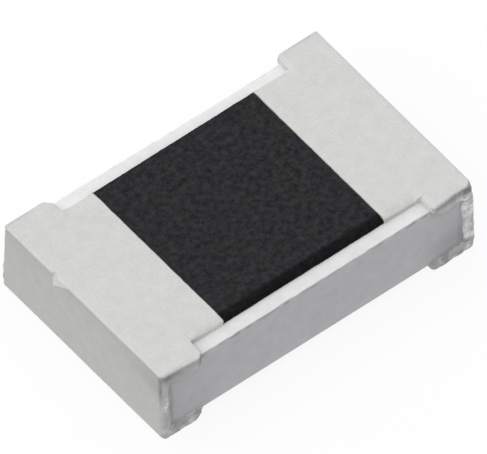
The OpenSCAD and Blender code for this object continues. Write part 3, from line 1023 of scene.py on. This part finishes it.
# Pixel of the middle of the footprint
FOOTPRINT_PIXEL = (238.66, 265.17)
CAMERA_AWAY = 10 * MM
CLIP_NEAR = 0.1 * MM
CLIP_FAR = 100 * MM

flat = math.cos(ELEVATION)
back = Vector((math.sin(AZIMUTH) * flat, -math.cos(AZIMUTH) * flat, math.sin(ELEVATION)))
right = Vector((math.cos(AZIMUTH), math.sin(AZIMUTH), 0))
up = back.cross(right)
across = IMAGE_W / 2 - FOOTPRINT_PIXEL[0]
upward = FOOTPRINT_PIXEL[1] - IMAGE_H / 2
aim = (right * across + up * upward) * (MM / PIXELS_PER_MM)
camera_data = bpy.data.cameras.new("camera")
camera_data.type = "ORTHO"
camera_data.ortho_scale = IMAGE_W * MM / PIXELS_PER_MM
camera_data.clip_start = CLIP_NEAR
camera_data.clip_end = CLIP_FAR
camera = bpy.data.objects.new("camera", camera_data)
camera.location = aim + back * CAMERA_AWAY
camera.rotation_euler = (-back).to_track_quat("-Z", "Y").to_euler()
bpy.context.scene.collection.objects.link(camera)
bpy.context.scene.camera = camera

# Floor

FLOOR_HALF = 60 * MM
# Level of the floor's paper, and how much of it glows
PAPER = 0.98
GLOW = 0.88


def seen_ray(tree):
    """1 for rays that show the backdrop to the camera, direct, mirrored or through glass."""
    path = tree.nodes.new("ShaderNodeLightPath")
    total = path.outputs["Is Camera Ray"]
    for name in ("Is Glossy Ray", "Is Transmission Ray"):
        node = tree.nodes.new("ShaderNodeMath")
        node.operation = "MAXIMUM"
        tree.links.new(total, node.inputs[0])
        tree.links.new(path.outputs[name], node.inputs[1])
        total = node.outputs[0]
    return total


def floor_material():
    material = bpy.data.materials.new("pale_floor")
    material.use_nodes = True
    tree = material.node_tree
    tree.nodes.clear()
    paper = tree.nodes.new("ShaderNodeBsdfDiffuse")
    paper.inputs["Color"].default_value = (PAPER, PAPER, PAPER, 1)
    seen = seen_ray(tree)
    glow = tree.nodes.new("ShaderNodeEmission")
    glow.inputs["Color"].default_value = (1, 1, 1, 1)
    clear = tree.nodes.new("ShaderNodeBsdfTransparent")
    lit = tree.nodes.new("ShaderNodeMixShader")
    lit.inputs["Fac"].default_value = GLOW
    tree.links.new(paper.outputs[0], lit.inputs[1])
    tree.links.new(glow.outputs[0], lit.inputs[2])
    met = tree.nodes.new("ShaderNodeMixShader")
    tree.links.new(seen, met.inputs["Fac"])
    tree.links.new(clear.outputs[0], met.inputs[1])
    tree.links.new(lit.outputs[0], met.inputs[2])
    side = tree.nodes.new("ShaderNodeNewGeometry")
    faced = tree.nodes.new("ShaderNodeMixShader")
    tree.links.new(side.outputs["Backfacing"], faced.inputs["Fac"])
    tree.links.new(met.outputs[0], faced.inputs[1])
    tree.links.new(clear.outputs[0], faced.inputs[2])
    out = tree.nodes.new("ShaderNodeOutputMaterial")
    tree.links.new(faced.outputs[0], out.inputs["Surface"])
    return material


floor_mesh = bpy.data.meshes.new("floor")
floor_mesh.from_pydata([(-FLOOR_HALF, -FLOOR_HALF, 0), (FLOOR_HALF, -FLOOR_HALF, 0),
                        (FLOOR_HALF, FLOOR_HALF, 0), (-FLOOR_HALF, FLOOR_HALF, 0)], [], [(0, 1, 2, 3)])
floor_mesh.materials.append(floor_material())
floor = bpy.data.objects.new("floor", floor_mesh)
bpy.context.scene.collection.objects.link(floor)

# Light

# A studio sky brightens towards one side. An even bounce from below stands in for the floor's own, which
# would leave the underside black.
SKY_BASE = 0.45
SKY_RISE = 0.92
BOUNCE = 0.26
SKY_BRIGHT = Vector((-0.32, 0.35, 0.86)).normalized()

world = bpy.data.worlds.new("studio")
world.use_nodes = True
tree = world.node_tree
toward = tree.nodes.new("ShaderNodeTexCoord")
facing = tree.nodes.new("ShaderNodeVectorMath")
facing.operation = "DOT_PRODUCT"
facing.inputs[1].default_value = SKY_BRIGHT
tree.links.new(toward.outputs["Generated"], facing.inputs[0])
level = tree.nodes.new("ShaderNodeMath")
level.operation = "MULTIPLY_ADD"
level.inputs[1].default_value = SKY_RISE
level.inputs[2].default_value = SKY_BASE
tree.links.new(facing.outputs["Value"], level.inputs[0])
floored = tree.nodes.new("ShaderNodeMath")
floored.operation = "MAXIMUM"
floored.inputs[1].default_value = 0.0
tree.links.new(level.outputs[0], floored.inputs[0])
soft = tree.nodes["Background"]
soft.inputs["Color"].default_value = (1, 1, 1, 1)
tree.links.new(floored.outputs[0], soft.inputs["Strength"])
white = tree.nodes.new("ShaderNodeBackground")
white.inputs["Color"].default_value = (1, 1, 1, 1)
white.inputs["Strength"].default_value = 1.0
low = tree.nodes.new("ShaderNodeBackground")
low.inputs["Color"].default_value = (1, 1, 1, 1)
low.inputs["Strength"].default_value = BOUNCE
parts = tree.nodes.new("ShaderNodeSeparateXYZ")
tree.links.new(toward.outputs["Generated"], parts.inputs[0])
above = tree.nodes.new("ShaderNodeMath")
above.operation = "GREATER_THAN"
above.inputs[1].default_value = 0.0
tree.links.new(parts.outputs["Z"], above.inputs[0])
around = tree.nodes.new("ShaderNodeMixShader")
tree.links.new(above.outputs[0], around.inputs["Fac"])
tree.links.new(low.outputs[0], around.inputs[1])
tree.links.new(soft.outputs[0], around.inputs[2])
chosen = tree.nodes.new("ShaderNodeMixShader")
path = tree.nodes.new("ShaderNodeLightPath")
tree.links.new(path.outputs["Is Camera Ray"], chosen.inputs["Fac"])
tree.links.new(around.outputs[0], chosen.inputs[1])
tree.links.new(white.outputs[0], chosen.inputs[2])
tree.links.new(chosen.outputs[0], tree.nodes["World Output"].inputs["Surface"])
bpy.context.scene.world = world

bpy.context.scene.view_settings.view_transform = "Standard"
